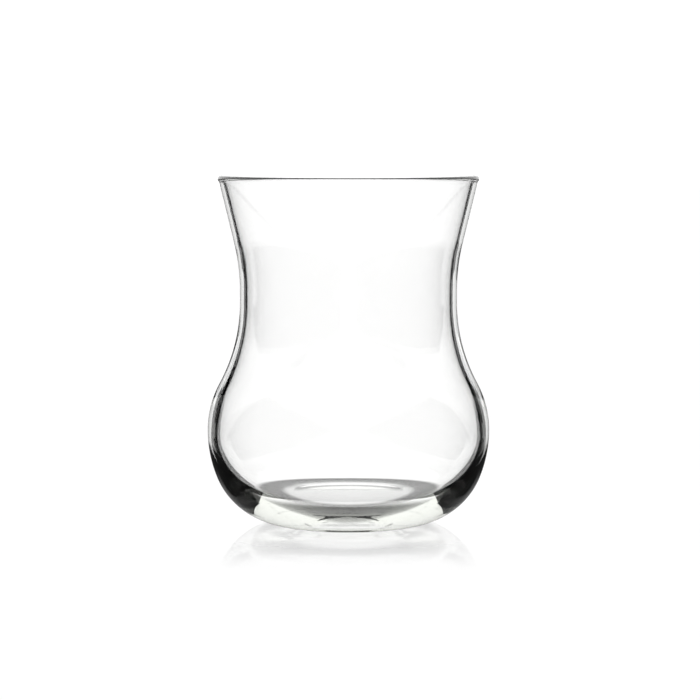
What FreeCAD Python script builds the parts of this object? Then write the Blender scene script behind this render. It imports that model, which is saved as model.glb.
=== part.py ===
"""Short, wide-waisted tea glass: one turned wall of clear glass from the foot to a rounded rim.

The glass is a half section revolved about +Z. Millimetres, with the origin at the centre of the foot,
on the surface that the glass stands on. Every curve of the section is an arc that runs smoothly into
the next one, so each size below can be changed by itself.
"""
import FreeCAD, Part

import math
import os

# Outside of the glass
OVERALL_HEIGHT = 80.0        # foot to the top of the rim
MOUTH_DIAMETER = 59.8        # across the outside of the rim bead
WAIST_DIAMETER = 49.8        # narrowest place
WAIST_HEIGHT = 51.1          # level where the upright stretch of the waist begins
WAIST_STRAIGHT = 2.6         # length of that upright stretch
BELLY_DIAMETER = 64.9        # widest place
BELLY_HEIGHT = 21.4          # level of the widest place
BELLY_LOWER_RADIUS = 28.4    # side of the belly, below its widest place
HEEL_RADIUS = 17.0           # rounding from the belly under to the foot
SHOULDER_SHARE = 0.36        # how much of the curve from belly to waist is the belly's shoulder
STRAIGHT_SHARE = 0.58        # how much of the flare is straight wall below the rim, not curve

# Foot
FOOT_LAND = 1.2              # width of the flat ring that the glass stands on
PUSH_UP_DEPTH = 0.8          # how far the middle of the bottom is pushed up
PUSH_UP_EDGE_RADIUS = 1.0    # rounding between the ring and the pushed-up middle
BOTTOM_THICKNESS = 3.6       # glass at the middle of the bottom

# Inside of the glass
RIM_WALL = 1.45              # wall just below the rim, its thinnest place
WAIST_WALL = 1.6             # wall at the waist
BELLY_WALL = 2.2             # wall at the belly
INNER_BELLY_DROP = 0.7       # how far the widest place inside lies below the widest place outside
BOWL_SIDE_SHARE = 1.1        # radius of the side of the bowl, as a share of the bowl's depth
BOWL_HEEL_SHARE = 0.92       # radius between that side and the floor, as a share of that depth

# Rim, melted round in the flame
RIM_BEAD_DIAMETER = 1.6      # bead that stands out around the mouth
RIM_PROUD = 0.2              # how far the bead stands out past the wall
RIM_NECK_RADIUS = 0.4        # hollow between the bead and the wall, outside
LIP_RADIUS = 1.6             # softer rounding from the bead down to the wall, inside

NODE = "tea_glass"


def point(radius, height):
    """A point of the half section."""
    return FreeCAD.Vector(radius, 0, height)


def unit(vector):
    """The vector's direction, one millimetre long."""
    return vector * (1.0 / vector.Length)


def line(start, end):
    """A straight edge of the section."""
    return Part.LineSegment(start, end).toShape()


def arc(centre, start, end):
    """The shorter arc about centre, from start to end."""
    radius = (start - centre).Length
    middle = centre + unit(unit(start - centre) + unit(end - centre)) * radius
    return Part.Arc(start, middle, end).toShape()


def centre_beside(through, along, around, distance):
    """Centre of a rounding: on a line, at a distance from another centre, at the lower of the two places."""
    offset = through - around
    forward = offset.dot(along)
    reach = math.sqrt(forward ** 2 - offset.dot(offset) + distance ** 2)
    return through + along * (-forward - reach)


def ogee(low, high):
    """Two arcs that leave the belly at low and reach the waist at high, upright at both ends."""
    widening = low.x - high.x
    rise = high.z - low.z
    both_radii = (widening ** 2 + rise ** 2) / (2 * widening)
    low_centre = point(low.x - both_radii * SHOULDER_SHARE, low.z)
    high_centre = point(low_centre.x + both_radii - widening, high.z)
    turn = low + (high - low) * SHOULDER_SHARE
    return [arc(low_centre, low, turn), arc(high_centre, turn, high)]


def inner_belly():
    """Widest place of the inside."""
    return point(BELLY_DIAMETER / 2 - BELLY_WALL, BELLY_HEIGHT - INNER_BELLY_DROP)


def bottom():
    """Underside: pushed-up middle, its rounded edge, the standing ring, the heel and the lower belly."""
    belly = point(BELLY_DIAMETER / 2, BELLY_HEIGHT)
    side_centre = point(belly.x - BELLY_LOWER_RADIUS, BELLY_HEIGHT)
    heel_reach = math.sqrt((BELLY_LOWER_RADIUS - HEEL_RADIUS) ** 2 - (BELLY_HEIGHT - HEEL_RADIUS) ** 2)
    heel_centre = point(side_centre.x + heel_reach, HEEL_RADIUS)
    heel_top = side_centre + unit(heel_centre - side_centre) * BELLY_LOWER_RADIUS
    ring_outer = point(heel_centre.x, 0)
    ring_inner = point(ring_outer.x - FOOT_LAND, 0)

    both_radii = (ring_inner.x ** 2 + PUSH_UP_DEPTH ** 2) / (2 * PUSH_UP_DEPTH)
    dome_centre = point(0, PUSH_UP_DEPTH - both_radii + PUSH_UP_EDGE_RADIUS)
    edge_centre = point(ring_inner.x, PUSH_UP_EDGE_RADIUS)
    edge_top = edge_centre + unit(dome_centre - edge_centre) * PUSH_UP_EDGE_RADIUS
    return [
        arc(dome_centre, point(0, PUSH_UP_DEPTH), edge_top),
        arc(edge_centre, edge_top, ring_inner),
        line(ring_inner, ring_outer),
        arc(heel_centre, ring_outer, heel_top),
        arc(side_centre, heel_top, belly),
    ]


def walls_and_rim():
    """The wall from the belly up its outside, over the rim and down its inside to the belly again."""
    belly = point(BELLY_DIAMETER / 2, BELLY_HEIGHT)
    waist_low = point(WAIST_DIAMETER / 2, WAIST_HEIGHT)
    waist_high = point(waist_low.x, WAIST_HEIGHT + WAIST_STRAIGHT)
    bead_radius = RIM_BEAD_DIAMETER / 2
    bead = point(MOUTH_DIAMETER / 2 - bead_radius, OVERALL_HEIGHT - bead_radius)

    # Outside of the flare: an arc that leaves the waist upright and ends in the straight wall
    flare_end = point(MOUTH_DIAMETER / 2 - RIM_PROUD, bead.z)
    chord = flare_end - waist_high
    straight = chord.Length * STRAIGHT_SHARE
    flare_radius = (chord.Length ** 2 - straight ** 2) / (2 * chord.x)
    flare_centre = point(waist_high.x + flare_radius, waist_high.z)
    spoke = unit(flare_end - flare_centre)
    across = point(-spoke.z, spoke.x)
    tilt = math.atan2(straight, flare_radius)
    flare_start = flare_centre + (spoke * math.cos(tilt) + across * math.sin(tilt)) * flare_radius

    along = unit(flare_end - flare_start)
    inward = point(-along.z, along.x)
    neck_line = flare_end - inward * RIM_NECK_RADIUS
    neck_centre = centre_beside(neck_line, along, bead, bead_radius + RIM_NECK_RADIUS)
    neck_low = neck_centre + inward * RIM_NECK_RADIUS
    neck_high = bead + unit(neck_centre - bead) * bead_radius
    outside = ogee(belly, waist_low) + [
        line(waist_low, waist_high),
        arc(flare_centre, waist_high, flare_start),
        line(flare_start, neck_low),
        arc(neck_centre, neck_low, neck_high),
    ]

    # Rim: the bead outside and over the top, then the softer lip down to the inside of the wall
    inner_end = flare_end + inward * RIM_WALL
    lip_centre = centre_beside(inner_end - inward * LIP_RADIUS, along, bead, LIP_RADIUS - bead_radius)
    lip_low = lip_centre + inward * LIP_RADIUS
    lip_high = bead + unit(bead - lip_centre) * bead_radius
    bead_side = point(MOUTH_DIAMETER / 2, bead.z)
    rim = [
        arc(bead, neck_high, bead_side),
        arc(bead, bead_side, lip_high),
        arc(lip_centre, lip_high, lip_low),
    ]

    # Inside: the straight wall, the rounding at the waist and the shoulder of the belly
    inner_waist = waist_low.x - WAIST_WALL
    corner_height = inner_end.z - (inner_end.x - inner_waist) * along.z / along.x
    reach = corner_height - waist_high.z
    inner_flare_radius = reach / math.tan(math.atan2(along.x, along.z) / 2)
    inner_flare_centre = point(inner_waist + inner_flare_radius, waist_high.z)
    inner_flare_low = point(inner_waist, waist_high.z)
    inner_flare_high = point(inner_waist, corner_height) + along * reach
    inner_waist_low = point(inner_waist, WAIST_HEIGHT)
    inside = [
        line(lip_low, inner_flare_high),
        arc(inner_flare_centre, inner_flare_high, inner_flare_low),
        line(inner_flare_low, inner_waist_low),
    ] + ogee(inner_belly(), inner_waist_low)
    return outside + rim + inside


def bowl():
    """Inside of the lower belly, rounded down to the flat floor, and the floor to the middle."""
    widest = inner_belly()
    floor_middle = point(0, PUSH_UP_DEPTH + BOTTOM_THICKNESS)
    depth = widest.z - floor_middle.z
    side_radius = depth * BOWL_SIDE_SHARE
    heel_radius = depth * BOWL_HEEL_SHARE
    side_centre = point(widest.x - side_radius, widest.z)
    heel_reach = math.sqrt((side_radius - heel_radius) ** 2 - (depth - heel_radius) ** 2)
    heel_centre = point(side_centre.x + heel_reach, floor_middle.z + heel_radius)
    heel_top = side_centre + unit(heel_centre - side_centre) * side_radius
    floor_edge = point(heel_centre.x, floor_middle.z)
    return [
        arc(side_centre, widest, heel_top),
        arc(heel_centre, heel_top, floor_edge),
        line(floor_edge, floor_middle),
        line(floor_middle, point(0, PUSH_UP_DEPTH)),
    ]


def tea_glass():
    """The whole glass, as one solid of revolution."""
    edges = Part.__sortEdges__(bottom() + walls_and_rim() + bowl())
    section = Part.Face(Part.Wire(edges))
    return section.revolve(FreeCAD.Vector(0, 0, 0), FreeCAD.Vector(0, 0, 1), 360)


def main():
    """Build the glass, write its STEP file and print its main measures."""
    glass = tea_glass()
    os.makedirs("parts", exist_ok=True)
    glass.exportStep(f"parts/{NODE}.step")
    box = glass.optimalBoundingBox()
    print(f"{NODE}: valid {glass.isValid()}, {len(glass.Solids)} solid, {len(glass.Faces)} faces")
    print(f"  {box.XLength:.2f} x {box.YLength:.2f} x {box.ZLength:.2f} mm")
    print(f"  volume of the glass itself {glass.Volume / 1000:.2f} cm3")


main()
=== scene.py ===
"""Looks of the short tea glass: clear soda-lime glass on a white polished sheet, between black cards."""
import logging
import math
from dataclasses import dataclass, field
from enum import Enum
from typing import Any

import bpy
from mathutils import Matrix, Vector


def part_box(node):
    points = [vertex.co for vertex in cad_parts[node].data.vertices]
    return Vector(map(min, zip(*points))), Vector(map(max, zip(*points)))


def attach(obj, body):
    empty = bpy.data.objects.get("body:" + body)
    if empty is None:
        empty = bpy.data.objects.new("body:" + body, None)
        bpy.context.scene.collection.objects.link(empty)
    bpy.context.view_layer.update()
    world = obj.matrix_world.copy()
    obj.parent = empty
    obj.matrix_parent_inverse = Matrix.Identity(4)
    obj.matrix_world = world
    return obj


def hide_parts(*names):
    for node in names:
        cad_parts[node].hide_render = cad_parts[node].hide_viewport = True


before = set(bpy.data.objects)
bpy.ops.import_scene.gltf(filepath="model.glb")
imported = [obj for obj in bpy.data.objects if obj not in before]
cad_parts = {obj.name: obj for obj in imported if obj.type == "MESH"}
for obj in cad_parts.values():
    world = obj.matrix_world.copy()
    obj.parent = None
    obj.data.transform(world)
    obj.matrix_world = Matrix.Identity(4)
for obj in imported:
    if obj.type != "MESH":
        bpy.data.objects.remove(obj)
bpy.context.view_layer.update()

MM = 0.001
NODE = "tea_glass"
LOG = logging.getLogger(NODE)


def linear(hex_colour: str) -> tuple[float, float, float, float]:
    """Turn an sRGB hex colour into the linear colour that a shader takes.

    Args:
        hex_colour: A colour such as "#CCD6B4".

    Returns:
        Red, green and blue from 0 to 1, and an alpha of 1.
    """
    values = [int(hex_colour[k:k + 2], 16) / 255 for k in (1, 3, 5)]
    return (*(v / 12.92 if v <= 0.04045 else ((v + 0.055) / 1.055) ** 2.4 for v in values), 1.0)


def add_node(tree: bpy.types.NodeTree, kind: str, settings: dict[str, Any] | None = None,
             inputs: dict[str | int, Any] | None = None) -> bpy.types.Node:
    """Add one node to a tree, with its settings, its values and what is linked to it.

    Args:
        tree: The shader or geometry tree.
        kind: The node's type name.
        settings: Values of the node's own properties.
        inputs: For each input, by name or number, a value or the output socket that feeds it.

    Returns:
        The new node.
    """
    node = tree.nodes.new(kind)
    for name, value in (settings or {}).items():
        setattr(node, name, value)
    for key, value in (inputs or {}).items():
        if isinstance(value, bpy.types.NodeSocket):
            tree.links.new(value, node.inputs[key])
        else:
            node.inputs[key].default_value = value
    return node


def add_object(name: str, corners: list[Any], edges: list[tuple[int, int]] | None = None,
               faces: list[tuple[int, ...]] | None = None,
               finish: bpy.types.Material | None = None) -> bpy.types.Object:
    """Make a mesh object at the origin and put it in the scene.

    Args:
        name: What the object and its mesh are called.
        corners: The corners of the mesh.
        edges: Pairs of corners, for a mesh of edges alone.
        faces: The corners of each face.
        finish: The material of its faces.

    Returns:
        The new object.
    """
    mesh = bpy.data.meshes.new(name)
    mesh.from_pydata(corners, edges or [], faces or [])
    if finish:
        mesh.materials.append(finish)
    made = bpy.data.objects.new(name, mesh)
    bpy.context.scene.collection.objects.link(made)
    return made


class Ray(Enum):
    """Kinds of ray that a light or a sheet may treat each in its own way."""

    CAMERA = "Is Camera Ray"
    GLOSSY = "Is Glossy Ray"
    TRANSMISSION = "Is Transmission Ray"


def seen_directly(tree: bpy.types.NodeTree, *rays: Ray) -> bpy.types.NodeSocket:
    """A factor that is 1 for any of these kinds of ray, and 0 for the light that falls on things.

    Args:
        tree: The shader tree to add the nodes to.
        rays: The kinds of ray.

    Returns:
        The output socket that holds the factor.
    """
    path = add_node(tree, "ShaderNodeLightPath")
    total = path.outputs[rays[0].value]
    for ray in rays[1:]:
        join = {0: total, 1: path.outputs[ray.value]}
        total = add_node(tree, "ShaderNodeMath", {"operation": "MAXIMUM"}, join).outputs[0]
    return total


@dataclass(frozen=True)
class SodaLimeGlass:
    """Clear soda-lime glass, blown in a mould and fire-polished.

    It bends light as window glass does and mirrors a little of it. The body of the glass is a very pale
    grey-green that only shows where light runs a long way inside it, along the wall and in the bottom.
    The flame leaves the skin smooth, with a faint slow ripple that the eye sees only in reflections.
    """

    ior: float = 1.52
    roughness: float = 0.0
    body_tint: str = "#CCD6B4"
    absorption_per_m: float = 4.0
    ripple_length_mm: float = 7.0
    ripple_depth_mm: float = 0.002

    def material(self) -> bpy.types.Material:
        """Build the material.

        Returns:
            Clear glass with a rippled skin and a faintly tinted body.
        """
        made = bpy.data.materials.new("clear soda-lime glass, fire-polished")
        made.use_nodes = True
        tree = made.node_tree
        tree.nodes.clear()
        place = add_node(tree, "ShaderNodeTexCoord")
        ripple = add_node(tree, "ShaderNodeTexNoise", inputs={
            "Vector": place.outputs["Object"],
            "Scale": 1 / (self.ripple_length_mm * MM),
            "Detail": 1.0,
        })
        skin = add_node(tree, "ShaderNodeBump", inputs={
            "Height": ripple.outputs["Fac"],
            "Distance": self.ripple_depth_mm * MM,
            "Strength": 1.0,
        })
        glass = add_node(tree, "ShaderNodeBsdfPrincipled", inputs={
            "Base Color": linear("#FFFFFF"),
            "Roughness": self.roughness,
            "IOR": self.ior,
            "Transmission Weight": 1.0,
            "Normal": skin.outputs["Normal"],
        })
        body = add_node(tree, "ShaderNodeVolumeAbsorption", inputs={
            "Color": linear(self.body_tint),
            "Density": self.absorption_per_m,
        })
        add_node(tree, "ShaderNodeOutputMaterial", inputs={
            "Surface": glass.outputs[0],
            "Volume": body.outputs[0],
        })
        return made


@dataclass(frozen=True)
class WhiteAcrylicSheet:
    """White acrylic sheet, cast and polished: a bright even white with a soft mirror on top.

    The eye sees an even white with a faint shadow, and the glass mirrored in it, fading away from the foot.
    What the glass itself picks up from the sheet is set apart, and holds painted shade. Light that has come
    through the glass meets a ring of painted shade round the foot, which draws the crescent in the bottom,
    and reflections in the glass meet a sheet painted almost black, a painted dark reflection which makes the
    thick lower belly black. Lengths are in metres from the axis.
    """

    own_white: float = 1.02
    white_through_glass: float = 1.18
    # Painted dark reflection: the glass mirrors the sheet as almost black, which blackens the thick lower
    # belly.
    painted_dark_in_mirror: float = 0.03
    white_under_foot: float = 0.85
    shadow_share: float = 0.15
    mirror_roughness: float = 0.05
    ior: float = 1.49
    # A ring of painted shade round the foot, seen only through the glass.
    shade_white: float = 0.0
    shade_inner: float = 0.0142
    shade_outer: float = 0.0225
    shade_edge: float = 0.003
    polish_from: float = 0.025
    polish_to: float = 0.070

    def _through_glass(self, tree: bpy.types.NodeTree, away: bpy.types.NodeSocket) -> bpy.types.NodeSocket:
        """White under the foot, a ring of painted shade round it, and white again outside.

        Args:
            tree: The sheet's shader tree.
            away: Distance from the axis.

        Returns:
            The strength of the sheet's white, with its ring of painted shade, for light that has come through
            the glass.
        """
        # Painted shade: a dark ring on the sheet round the foot that only light through the glass sees; it
        # draws the dark crescent in the bottom.
        inner = add_node(tree, "ShaderNodeMapRange", {"interpolation_type": "SMOOTHSTEP"}, {
            "Value": away, "From Min": self.shade_inner, "From Max": self.shade_inner + self.shade_edge,
            "To Min": self.white_under_foot, "To Max": self.shade_white,
        })
        through = add_node(tree, "ShaderNodeMapRange", {"interpolation_type": "SMOOTHSTEP"}, {
            "Value": away, "From Min": self.shade_outer, "From Max": self.shade_outer + self.shade_edge,
            "To Min": inner.outputs[0], "To Max": self.white_through_glass,
        })
        return through.outputs[0]

    def _own_white(self, tree: bpy.types.NodeTree, away: bpy.types.NodeSocket) -> bpy.types.NodeSocket:
        """The sheet's own white for the eye, and for the glass a painted dark reflection and a ring of
        painted shade.

        Args:
            tree: The sheet's shader tree.
            away: Distance from the axis.

        Returns:
            The shader socket of that white, which gives no light to anything else.
        """
        # Reflections in the glass see the sheet painted almost black, and light through the glass sees the
        # ring of painted shade.
        mirrored = add_node(tree, "ShaderNodeMix", {"data_type": "FLOAT"}, {
            0: seen_directly(tree, Ray.TRANSMISSION), 2: self.painted_dark_in_mirror,
            3: self._through_glass(tree, away),
        })
        strength = add_node(tree, "ShaderNodeMix", {"data_type": "FLOAT"}, {
            0: seen_directly(tree, Ray.CAMERA), 2: mirrored.outputs[0], 3: self.own_white,
        })
        counted = add_node(tree, "ShaderNodeMath", {"operation": "MULTIPLY"}, {
            0: seen_directly(tree, Ray.CAMERA, Ray.GLOSSY, Ray.TRANSMISSION), 1: strength.outputs[0],
        })
        return add_node(tree, "ShaderNodeEmission", inputs={
            "Color": linear("#FFFFFF"), "Strength": counted.outputs[0],
        }).outputs[0]

    def material(self) -> bpy.types.Material:
        """Build the material.

        Returns:
            White with a share that takes shadow, under a mirror that fades away from the glass.
        """
        made = bpy.data.materials.new("white acrylic sheet, polished")
        made.use_nodes = True
        tree = made.node_tree
        tree.nodes.clear()
        lit = add_node(tree, "ShaderNodeBsdfDiffuse", inputs={"Color": linear("#FFFFFF")})
        place = add_node(tree, "ShaderNodeTexCoord").outputs["Object"]
        away = add_node(tree, "ShaderNodeVectorMath", {"operation": "LENGTH"}, {0: place}).outputs["Value"]
        lit_share = add_node(tree, "ShaderNodeMath", {"operation": "MULTIPLY"}, {
            0: seen_directly(tree, Ray.CAMERA), 1: self.shadow_share,
        })
        sheet = add_node(tree, "ShaderNodeMixShader", inputs={
            0: lit_share.outputs[0], 1: self._own_white(tree, away), 2: lit.outputs[0],
        })
        mirror = add_node(tree, "ShaderNodeBsdfGlossy", inputs={
            "Color": linear("#FFFFFF"), "Roughness": self.mirror_roughness,
        })
        polish = add_node(tree, "ShaderNodeMapRange", {"interpolation_type": "SMOOTHSTEP"}, {
            "Value": away, "From Min": self.polish_from, "From Max": self.polish_to,
            "To Min": 1.0, "To Max": 0.0,
        })
        fresnel = add_node(tree, "ShaderNodeFresnel", inputs={"IOR": self.ior})
        share = add_node(tree, "ShaderNodeMath", {"operation": "MULTIPLY"}, {
            0: fresnel.outputs[0], 1: polish.outputs[0],
        })
        whole = add_node(tree, "ShaderNodeMixShader", inputs={
            0: share.outputs[0], 1: sheet.outputs[0], 2: mirror.outputs[0],
        })
        add_node(tree, "ShaderNodeOutputMaterial", inputs={"Surface": whole.outputs[0]})
        return made


@dataclass(frozen=True)
class BlackVelvet:
    """Black velvet on card: it gives back almost no light, so glass that mirrors it turns dark."""

    colour: str = "#0A0A0A"

    def material(self) -> bpy.types.Material:
        """Build the material.

        Returns:
            A matt black.
        """
        made = bpy.data.materials.new("black velvet card")
        made.use_nodes = True
        tree = made.node_tree
        tree.nodes.clear()
        pile = add_node(tree, "ShaderNodeBsdfDiffuse", inputs={"Color": linear(self.colour)})
        add_node(tree, "ShaderNodeOutputMaterial", inputs={"Surface": pile.outputs[0]})
        return made


@dataclass
class HalfSection:
    """Outline of the turned glass, from the middle of its underside round the rim to its inside floor.

    Sizes are in millimetres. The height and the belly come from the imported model's box. Points are distance
    from the axis and height.
    """

    height: float
    belly_diameter: float
    mouth_diameter: float = 59.8
    waist_diameter: float = 49.8
    waist_height: float = 51.1
    waist_straight: float = 2.6
    belly_height: float = 21.4
    belly_lower_radius: float = 28.4
    heel_radius: float = 17.0
    shoulder_share: float = 0.36
    straight_share: float = 0.58
    foot_land: float = 1.2
    push_up_depth: float = 0.8
    push_up_edge_radius: float = 1.0
    bottom_thickness: float = 3.6
    rim_wall: float = 1.45
    waist_wall: float = 1.6
    belly_wall: float = 2.2
    inner_belly_drop: float = 0.7
    bowl_side_share: float = 1.1
    bowl_heel_share: float = 0.92
    bead_diameter: float = 1.6
    bead_proud: float = 0.2
    neck_radius: float = 0.4
    lip_radius: float = 1.6
    longest_step: float = 0.8
    widest_turn_deg: float = 7.0
    points: list[Vector] = field(default_factory=list)

    def _line(self, end: Vector) -> None:
        """Run straight on, in even steps.

        Args:
            end: Where the stretch ends.
        """
        start = self.points[-1]
        steps = max(1, math.ceil((end - start).length / self.longest_step))
        self.points += [start.lerp(end, k / steps) for k in range(1, steps + 1)]

    def _arc(self, centre: Vector, end: Vector) -> None:
        """Run on along the shorter arc about a centre, in even steps.

        Args:
            centre: Centre of the arc.
            end: Where the arc ends.
        """
        spoke = self.points[-1] - centre
        turn = spoke.angle_signed(end - centre)
        by_length = math.ceil(abs(turn) * spoke.length / self.longest_step)
        by_turn = math.ceil(abs(math.degrees(turn)) / self.widest_turn_deg)
        steps = max(1, by_length, by_turn)
        for k in range(1, steps + 1):
            angle = -turn * k / steps
            cos, sin = math.cos(angle), math.sin(angle)
            turned = Vector((spoke.x * cos - spoke.y * sin, spoke.x * sin + spoke.y * cos))
            self.points.append(centre + turned)

    def _ogee(self, low: Vector, high: Vector, upward: bool) -> None:
        """Two arcs between the belly and the waist, upright at both ends.

        Args:
            low: The widest place of the belly.
            high: The lower end of the waist.
            upward: True from belly to waist, as outside, and False from waist to belly, as inside.
        """
        widening, rise = low.x - high.x, high.y - low.y
        both_radii = (widening ** 2 + rise ** 2) / (2 * widening)
        low_centre = Vector((low.x - both_radii * self.shoulder_share, low.y))
        high_centre = Vector((low_centre.x + both_radii - widening, high.y))
        turn = low.lerp(high, self.shoulder_share)
        if upward:
            self._arc(low_centre, turn)
            self._arc(high_centre, high)
        else:
            self._arc(high_centre, turn)
            self._arc(low_centre, low)

    @staticmethod
    def _beside(through: Vector, along: Vector, around: Vector, distance: float) -> Vector:
        """Centre of a rounding, at the lower of the two places that a line offers.

        Args:
            through: A place that the line goes through.
            along: Direction of the line, of length 1.
            around: Another rounding's centre.
            distance: How far the new centre lies from that one.

        Returns:
            The new centre.
        """
        offset = through - around
        forward = offset.dot(along)
        reach = math.sqrt(forward ** 2 - offset.dot(offset) + distance ** 2)
        return through + along * (-forward - reach)

    def _underside(self, belly: Vector) -> None:
        """Pushed-up middle, its rounded edge, the standing ring, the heel and the lower belly.

        Args:
            belly: The widest place of the belly.
        """
        side = Vector((belly.x - self.belly_lower_radius, belly.y))
        apart, below = self.belly_lower_radius - self.heel_radius, self.belly_height - self.heel_radius
        heel = Vector((side.x + math.sqrt(apart ** 2 - below ** 2), self.heel_radius))
        ring_inner = Vector((heel.x - self.foot_land, 0))
        both_radii = (ring_inner.x ** 2 + self.push_up_depth ** 2) / (2 * self.push_up_depth)
        dome = Vector((0, self.push_up_depth - both_radii + self.push_up_edge_radius))
        edge = Vector((ring_inner.x, self.push_up_edge_radius))
        self.points = [Vector((0, self.push_up_depth))]
        self._arc(dome, edge + (dome - edge).normalized() * self.push_up_edge_radius)
        self._arc(edge, ring_inner)
        self._line(Vector((heel.x, 0)))
        self._arc(heel, side + (heel - side).normalized() * self.belly_lower_radius)
        self._arc(side, belly)

    def _inside(self, belly: Vector, inner_waist: float) -> None:
        """From the lower end of the inner waist down the inner belly and the bowl to the inside floor.

        Args:
            belly: The widest place of the belly, outside.
            inner_waist: Radius of the inner waist.
        """
        widest = Vector((belly.x - self.belly_wall, belly.y - self.inner_belly_drop))
        self._ogee(widest, Vector((inner_waist, self.waist_height)), upward=False)
        floor = self.push_up_depth + self.bottom_thickness
        depth = widest.y - floor
        side_radius, heel_radius = depth * self.bowl_side_share, depth * self.bowl_heel_share
        side = Vector((widest.x - side_radius, widest.y))
        reach = math.sqrt((side_radius - heel_radius) ** 2 - (depth - heel_radius) ** 2)
        heel = Vector((side.x + reach, floor + heel_radius))
        self._arc(side, side + (heel - side).normalized() * side_radius)
        self._arc(heel, Vector((heel.x, floor)))
        self._line(Vector((0, floor)))

    def trace(self) -> list[Vector]:
        """Work out the outline.

        Returns:
            Its points in order.
        """
        belly = Vector((self.belly_diameter / 2, self.belly_height))
        waist_low = Vector((self.waist_diameter / 2, self.waist_height))
        waist_high = Vector((waist_low.x, self.waist_height + self.waist_straight))
        bead_radius = self.bead_diameter / 2
        bead = Vector((self.mouth_diameter / 2 - bead_radius, self.height - bead_radius))
        self._underside(belly)
        self._ogee(belly, waist_low, upward=True)
        self._line(waist_high)

        flare_end = Vector((self.mouth_diameter / 2 - self.bead_proud, bead.y))
        chord = flare_end - waist_high
        straight = chord.length * self.straight_share
        radius = (chord.length ** 2 - straight ** 2) / (2 * chord.x)
        centre = Vector((waist_high.x + radius, waist_high.y))
        spoke = (flare_end - centre).normalized()
        across = Vector((-spoke.y, spoke.x))
        tilt = math.atan2(straight, radius)
        flare_start = centre + (spoke * math.cos(tilt) + across * math.sin(tilt)) * radius
        self._arc(centre, flare_start)

        along = (flare_end - flare_start).normalized()
        inward = Vector((-along.y, along.x))
        past_neck = bead_radius + self.neck_radius
        neck = self._beside(flare_end - inward * self.neck_radius, along, bead, past_neck)
        self._line(neck + inward * self.neck_radius)
        self._arc(neck, bead + (neck - bead).normalized() * bead_radius)

        inner_end = flare_end + inward * self.rim_wall
        past_lip = self.lip_radius - bead_radius
        lip = self._beside(inner_end - inward * self.lip_radius, along, bead, past_lip)
        self._arc(bead, Vector((self.mouth_diameter / 2, bead.y)))
        self._arc(bead, bead + (bead - lip).normalized() * bead_radius)
        self._arc(lip, lip + inward * self.lip_radius)

        inner_waist = waist_low.x - self.waist_wall
        corner = inner_end.y - (inner_end.x - inner_waist) * along.y / along.x
        reach = corner - waist_high.y
        inner_radius = reach / math.tan(math.atan2(along.x, along.y) / 2)
        self._line(Vector((inner_waist, corner)) + along * reach)
        self._arc(Vector((inner_waist + inner_radius, waist_high.y)), Vector((inner_waist, waist_high.y)))
        self._line(Vector((inner_waist, waist_low.y)))
        self._inside(belly, inner_waist)
        return self.points


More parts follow.
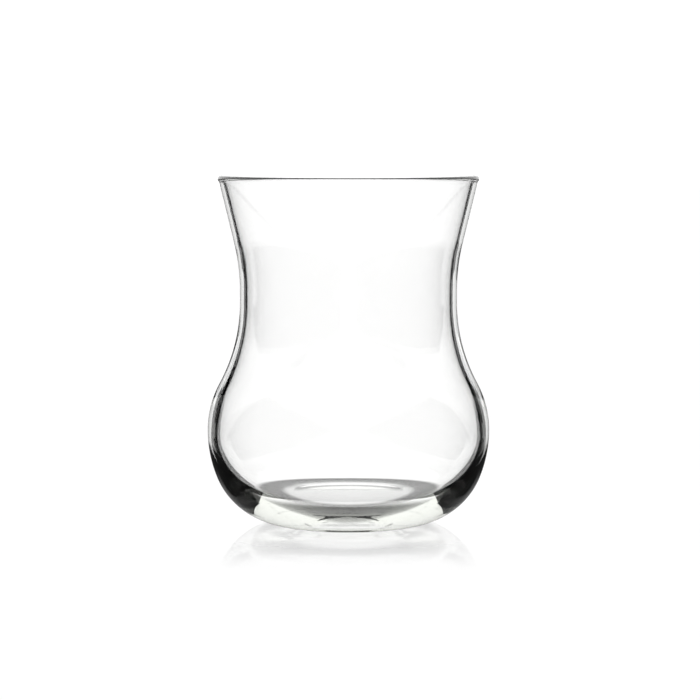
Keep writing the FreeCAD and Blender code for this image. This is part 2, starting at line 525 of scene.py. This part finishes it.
@dataclass
class TurnedGlass:
    """The glass itself: its half section turned about the axis, slightly uneven as blown glass is."""

    section: HalfSection
    finish: SodaLimeGlass
    segments: int = 256
    wave_length_mm: float = 14.0
    wave_depth_mm: float = 0.03
    calm_foot_mm: float = 2.0
    weld_mm: float = 0.001
    seed: int = 11

    def _outline(self) -> bpy.types.Object:
        """Lay the half section out as a chain of edges.

        Returns:
            The object that holds the chain.
        """
        corners = [(p.x * MM, 0, p.y * MM) for p in self.section.trace()]
        chain = [(k, k + 1) for k in range(len(corners) - 1)]
        return add_object(NODE + "_section", corners, edges=chain)

    @staticmethod
    def _turning_tree() -> bpy.types.NodeTree:
        """Build the node tree that turns a half section into a closed wall.

        Returns:
            The tree, with a named input for each size.
        """
        tree = bpy.data.node_groups.new("turned wall", "GeometryNodeTree")
        for name, kind in (("Section", "NodeSocketGeometry"), ("Segments", "NodeSocketInt"),
                           ("Wave Length", "NodeSocketFloat"), ("Wave Depth", "NodeSocketFloat"),
                           ("Calm Foot", "NodeSocketFloat"), ("Weld", "NodeSocketFloat"),
                           ("Seed", "NodeSocketInt"), ("Finish", "NodeSocketMaterial")):
            tree.interface.new_socket(name, in_out="INPUT", socket_type=kind)
        tree.interface.new_socket("Wall", in_out="OUTPUT", socket_type="NodeSocketGeometry")
        given = add_node(tree, "NodeGroupInput").outputs

        def maths(operation: str, first: Any, second: Any = 0.0) -> bpy.types.NodeSocket:
            """One sum of two values, and the socket that holds its result."""
            made = add_node(tree, "ShaderNodeMath", {"operation": operation}, {0: first, 1: second})
            return made.outputs[0]

        # A grid has one column for each segment and one row for each point of the section.
        size = add_node(tree, "GeometryNodeAttributeDomainSize", inputs={"Geometry": given["Section"]})
        count = size.outputs["Point Count"]
        columns = maths("ADD", given["Segments"], 1)
        sheet = add_node(tree, "GeometryNodeMeshGrid", inputs={
            "Vertices X": columns, "Vertices Y": count,
        })
        index = add_node(tree, "GeometryNodeInputIndex").outputs[0]
        column = maths("FLOOR", maths("DIVIDE", maths("ADD", index, 0.5), count))
        row = maths("SUBTRACT", index, maths("MULTIPLY", column, count))
        corner = add_node(tree, "GeometryNodeInputPosition").outputs[0]
        spot = add_node(tree, "GeometryNodeSampleIndex", {"data_type": "FLOAT_VECTOR"}, {
            "Geometry": given["Section"], "Value": corner, "Index": row,
        })
        angle = maths("MULTIPLY", maths("DIVIDE", column, given["Segments"]), math.tau)
        turned = add_node(tree, "ShaderNodeVectorRotate", {"rotation_type": "Z_AXIS"}, {
            "Vector": spot.outputs["Value"], "Angle": angle,
        })
        wall = add_node(tree, "GeometryNodeSetPosition", inputs={
            "Geometry": sheet.outputs["Mesh"], "Position": turned.outputs[0],
        })
        closed = add_node(tree, "GeometryNodeMergeByDistance", inputs={
            "Geometry": wall.outputs[0], "Distance": given["Weld"],
        })

        # A slow wave moves the skin in and out, and dies away at the standing ring.
        place = add_node(tree, "GeometryNodeInputPosition").outputs[0]
        height = add_node(tree, "ShaderNodeSeparateXYZ", inputs={0: place}).outputs["Z"]
        calm = add_node(tree, "ShaderNodeMapRange", {"interpolation_type": "SMOOTHSTEP"}, {
            "Value": height, "From Max": given["Calm Foot"],
        })
        wave = add_node(tree, "ShaderNodeTexNoise", {"noise_dimensions": "4D"}, {
            "Vector": place, "W": given["Seed"], "Scale": maths("DIVIDE", 1.0, given["Wave Length"]),
            "Detail": 0.0,
        })
        swing = maths("MULTIPLY", maths("SUBTRACT", wave.outputs[0], 0.5), given["Wave Depth"])
        normal = add_node(tree, "GeometryNodeInputNormal")
        offset = add_node(tree, "ShaderNodeVectorMath", {"operation": "SCALE"}, {
            0: normal.outputs[0], "Scale": maths("MULTIPLY", swing, calm.outputs[0]),
        })
        uneven = add_node(tree, "GeometryNodeSetPosition", inputs={
            "Geometry": closed.outputs[0], "Offset": offset.outputs[0],
        })
        smooth = add_node(tree, "GeometryNodeSetShadeSmooth", inputs={"Geometry": uneven.outputs[0]})
        real = add_node(tree, "GeometryNodeRealizeInstances", inputs={"Geometry": smooth.outputs[0]})
        dressed = add_node(tree, "GeometryNodeSetMaterial", inputs={
            "Geometry": real.outputs[0], "Material": given["Finish"],
        })
        add_node(tree, "NodeGroupOutput", inputs={0: dressed.outputs[0]})
        return tree

    def build(self) -> bpy.types.Object:
        """Build the glass, hang it on the root body and hide the imported part.

        Returns:
            The glass as a plain mesh object.
        """
        outline = self._outline()
        turning = outline.modifiers.new("turn", "NODES")
        turning.node_group = self._turning_tree()
        values = {
            "Segments": self.segments,
            "Wave Length": self.wave_length_mm * MM,
            "Wave Depth": self.wave_depth_mm * MM,
            "Calm Foot": self.calm_foot_mm * MM,
            "Weld": self.weld_mm * MM,
            "Seed": self.seed,
            "Finish": self.finish.material(),
        }
        for item in turning.node_group.interface.items_tree:
            if item.in_out == "INPUT" and item.name in values:
                turning[item.identifier] = values[item.name]
        settled = outline.evaluated_get(bpy.context.evaluated_depsgraph_get())
        glass = bpy.data.objects.new("glass_wall", bpy.data.meshes.new_from_object(settled))
        bpy.context.scene.collection.objects.link(glass)
        bpy.data.objects.remove(outline)
        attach(glass, "root")
        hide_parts(NODE)
        return glass


@dataclass
class Studio:
    """White background, white polished sheet to stand on, and black cards out of sight at the sides.

    The cards are what gives clear glass its dark edges on white. Lengths are in metres.
    """

    sheet: WhiteAcrylicSheet
    card: BlackVelvet
    background_white: float = 1.18
    light: float = 1.0
    sheet_half: float = 3.0
    lens_mm: float = 125.6
    film_width_mm: float = 36.0
    nearest: float = 0.01
    farthest: float = 20.0
    distance: float = 0.56
    camera_height: float = 0.0920
    aim: tuple[float, float, float] = (0.00036, 0.0, 0.03984)
    card_reach: float = 0.12
    card_far: float = 0.182
    card_near: float = 0.3
    card_top: float = 0.06
    card_bottom: float = 0.3
    # Floor cards: painted shade on the sheet, seen only through the glass.
    floor_card_reach: float = 0.4
    floor_card_lift: float = 0.0001
    floor_card_hole: float = 0.0255
    floor_card_start: float = 0.0255
    floor_card_deg: float = 23.0
    floor_card_turn_deg: int = 6
    bounces: int = 32
    mirror_bounces: int = 16

    def _world(self) -> None:
        """White wherever the background is seen, and a plain soft light on everything else."""
        world = bpy.data.worlds.new("white studio")
        bpy.context.scene.world = world
        world.use_nodes = True
        tree = world.node_tree
        tree.nodes.clear()
        seen = seen_directly(tree, Ray.CAMERA, Ray.GLOSSY, Ray.TRANSMISSION)
        level = add_node(tree, "ShaderNodeMix", {"data_type": "FLOAT"}, {
            0: seen, 2: self.light, 3: self.background_white,
        })
        white = add_node(tree, "ShaderNodeBackground", inputs={
            "Color": linear("#FFFFFF"), "Strength": level.outputs[0],
        })
        add_node(tree, "ShaderNodeOutputWorld", inputs={0: white.outputs[0]})

    def _sheet(self) -> None:
        """The sheet that the glass stands on."""
        half = self.sheet_half
        corners = [(-half, -half, 0), (half, -half, 0), (half, half, 0), (-half, half, 0)]
        add_object("sheet", corners, faces=[(0, 1, 2, 3)], finish=self.sheet.material())

    def _camera(self) -> bpy.types.Object:
        """The camera, a little above the rim and looking at the middle of the glass.

        Returns:
            The camera.
        """
        data = bpy.data.cameras.new("camera")
        data.lens = self.lens_mm
        data.sensor_width = self.film_width_mm
        data.clip_start, data.clip_end = self.nearest, self.farthest
        made = bpy.data.objects.new("camera", data)
        bpy.context.scene.collection.objects.link(made)
        made.location = (self.aim[0], -self.distance, self.camera_height)
        made.rotation_mode = "QUATERNION"
        made.rotation_quaternion = (Vector(self.aim) - made.location).to_track_quat("-Z", "Y")
        bpy.context.scene.camera = made
        return made

    def _cards(self, camera: bpy.types.Object) -> None:
        """Black cards left and right of the line of sight, which the camera carries.

        Args:
            camera: The camera.
        """
        half, top, bottom, near = self.card_reach, self.card_top, -self.card_bottom, self.card_near
        far = -(self.distance + self.card_far)
        faces = {
            "left": [(-half, bottom, near), (-half, bottom, far), (-half, top, far), (-half, top, near)],
            "right": [(half, bottom, near), (half, top, near), (half, top, far), (half, bottom, far)],
        }
        finish = self.card.material()
        for name, corners in faces.items():
            made = add_object("card_" + name, corners, faces=[(0, 1, 2, 3)], finish=finish)
            made.parent = camera
            made.visible_camera = False
            made.visible_diffuse = False
            made.visible_shadow = False

    def _floor_cards(self, camera: bpy.types.Object) -> None:
        """Black cards that lie on the sheet beside and before the glass and turn with the camera. Only light
        that has come through the glass sees them, so they are painted shade on the white sheet, which darkens
        parts of the bottom and the thick lower belly.

        Args:
            camera: The camera.
        """
        finish = self.card.material()
        far, lift, hole = self.floor_card_reach, self.floor_card_lift, self.floor_card_hole
        start = self.floor_card_start
        end = start + far * math.tan(math.radians(self.floor_card_deg))
        turns = [math.radians(a) for a in range(0, 91, self.floor_card_turn_deg)]
        ring = [(hole * math.sin(a), -hole * math.cos(a)) for a in turns]
        outline = ring + [(start, 0), (end, far), (far, far), (far, -far), (0, -far)]
        for name, side in (("left", -1), ("right", 1)):
            corners = [(side * x, y, lift) for x, y in outline]
            whole = tuple(range(len(corners)))
            made = add_object("floor_card_" + name, corners, faces=[whole], finish=finish)
            follow = made.constraints.new("COPY_ROTATION")
            follow.target = camera
            follow.use_x = follow.use_y = False
            # Seen only through the glass: painted shade on a sheet that is white everywhere else.
            made.visible_camera = False
            made.visible_glossy = False
            made.visible_diffuse = False
            made.visible_shadow = False

    def build(self) -> None:
        """Build the studio and set how the picture is shown."""
        scene = bpy.context.scene
        scene.view_settings.view_transform = "Standard"
        scene.cycles.max_bounces = self.bounces
        scene.cycles.transmission_bounces = self.bounces
        scene.cycles.glossy_bounces = self.mirror_bounces
        self._world()
        self._sheet()
        camera = self._camera()
        self._cards(camera)
        self._floor_cards(camera)


def main() -> None:
    """Build the glass and its studio in order, and report each piece."""
    logging.basicConfig(level=logging.INFO, format="%(message)s")
    low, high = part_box(NODE)
    section = HalfSection(height=(high.z - low.z) / MM, belly_diameter=(high.x - low.x) / MM)
    glass = TurnedGlass(section, SodaLimeGlass()).build()
    LOG.info("%s: %d faces", glass.name, len(glass.data.polygons))
    Studio(WhiteAcrylicSheet(), BlackVelvet()).build()
    LOG.info("studio: sheet, cards and camera")


if __name__ == "__main__":
    main()
